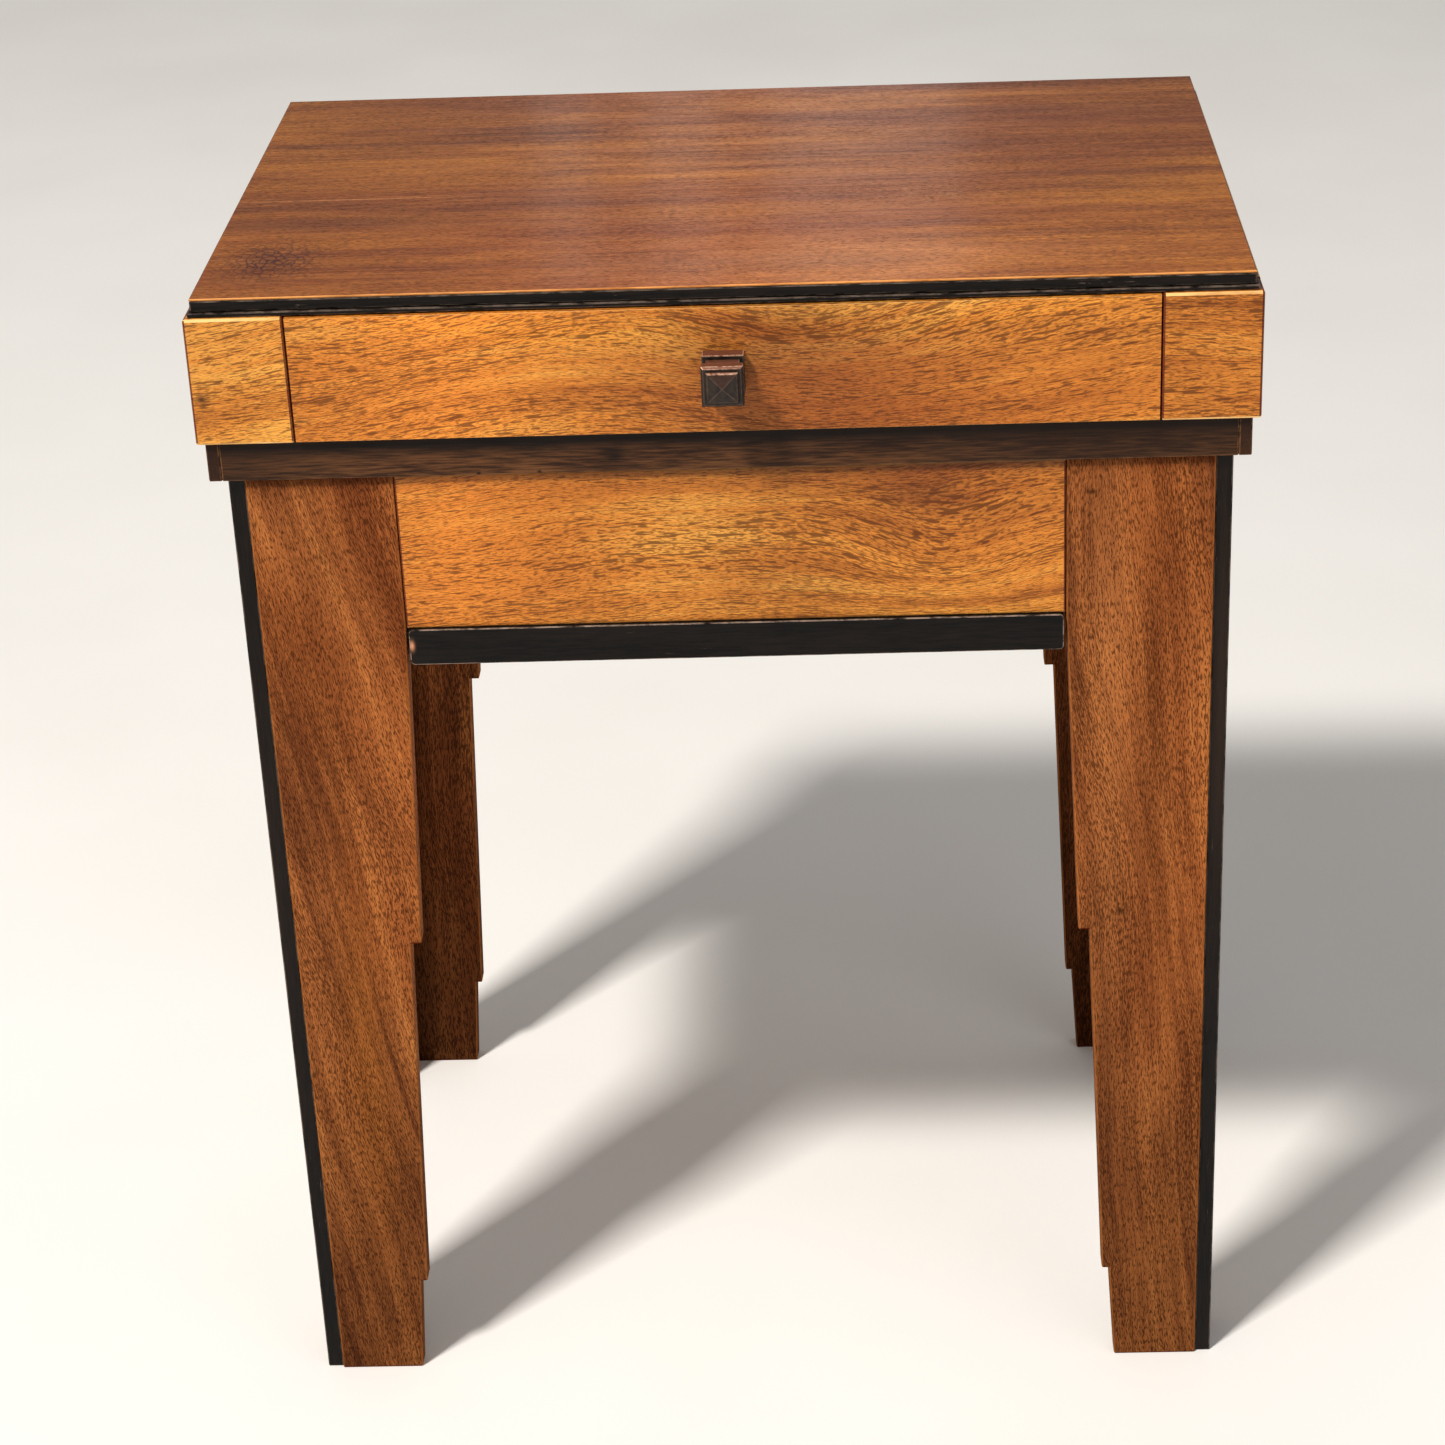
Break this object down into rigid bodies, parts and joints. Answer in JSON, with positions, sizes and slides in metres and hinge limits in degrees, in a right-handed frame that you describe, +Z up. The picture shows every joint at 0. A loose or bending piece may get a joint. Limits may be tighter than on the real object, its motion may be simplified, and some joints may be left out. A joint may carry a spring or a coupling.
{
  "type": "sewing table",
  "caption": "Art Deco style walnut sewing table: a fitted thread drawer above a pull-out yarn box, on stepped L-shaped legs with ebonised trim.",
  "frame": {"origin": "on the floor, under the middle of the table's bounding box, the knob included", "axes": "+Z up; -Y out of the front, the way the drawer and the yarn box open; +X to the viewer's right when facing the front"},
  "size_m": [0.56, 0.399, 0.686],
  "materials": {
    "walnut_top": "French-polished walnut veneer, glossy, grain along the width",
    "walnut_front": "satin golden walnut with short dark pores",
    "walnut_leg": "satin walnut, grain upright",
    "ebonised": "black-stained wood, satin, arrises rubbed",
    "stained_moulding": "dark brown stain, lower edge rubbed",
    "inside_wood": "plain unpolished beech",
    "plywood": "thin plywood, waxed",
    "bronze": "dark bronze patina, rubbed to copper on the edges",
    "steel": "dull screw steel"
  },
  "bodies": {
    "table": {"top_panel": "walnut_top", "casing_block_left": "walnut_front", "casing_block_right": "walnut_front", "casing_side_left": "walnut_front", "casing_side_right": "walnut_front", "casing_back": "walnut_front", "apron_left": "walnut_front", "apron_right": "walnut_front", "apron_back": "walnut_front", "leg_front_left_face": "walnut_leg", "leg_front_left_side": "walnut_leg", "leg_front_right_face": "walnut_leg", "leg_front_right_side": "walnut_leg", "leg_back_left_face": "walnut_leg", "leg_back_left_side": "walnut_leg", "leg_back_right_face": "walnut_leg", "leg_back_right_side": "walnut_leg", "top_edge_front": "ebonised", "top_edge_right": "ebonised", "top_edge_back": "ebonised", "top_edge_left": "ebonised", "top_ledge": "ebonised", "black_rail_left": "ebonised", "black_rail_right": "ebonised", "black_rail_back": "ebonised", "leg_front_left_strip": "ebonised", "leg_front_right_strip": "ebonised", "leg_back_left_strip": "ebonised", "leg_back_right_strip": "ebonised", "moulding_front": "stained_moulding", "moulding_right": "stained_moulding", "moulding_back": "stained_moulding", "moulding_left": "stained_moulding", "top_frame": "inside_wood", "drawer_guides": "inside_wood", "frame_rail_front": "inside_wood", "frame_rail_right": "inside_wood", "frame_rail_back": "inside_wood", "frame_rail_left": "inside_wood", "corner_blocks": "inside_wood", "box_runner_left": "inside_wood", "box_runner_right": "inside_wood", "top_screws": "steel"},
    "drawer": {"drawer_front": "walnut_front", "drawer_side_left": "inside_wood", "drawer_side_right": "inside_wood", "drawer_back": "inside_wood", "drawer_bottom": "plywood", "cross_divider": "inside_wood", "compartment_dividers": "inside_wood", "knob_plate": "bronze", "knob": "bronze", "knob_screw": "steel"},
    "yarn_box": {"yarn_box_front": "walnut_front", "yarn_box_grip_rail": "ebonised", "yarn_box_side_left": "inside_wood", "yarn_box_side_right": "inside_wood", "yarn_box_back": "inside_wood", "yarn_box_bottom": "plywood", "grip_rail_screws": "steel"}
  },
  "joints": [
    {"name": "drawer_slide", "type": "slide", "parent": "table", "child": "drawer", "axis": [0, -1, 0], "range_m": [0, 0.25]},
    {"name": "yarn_box_slide", "type": "slide", "parent": "table", "child": "yarn_box", "axis": [0, -1, 0], "range_m": [0, 0.22]}
  ]
}
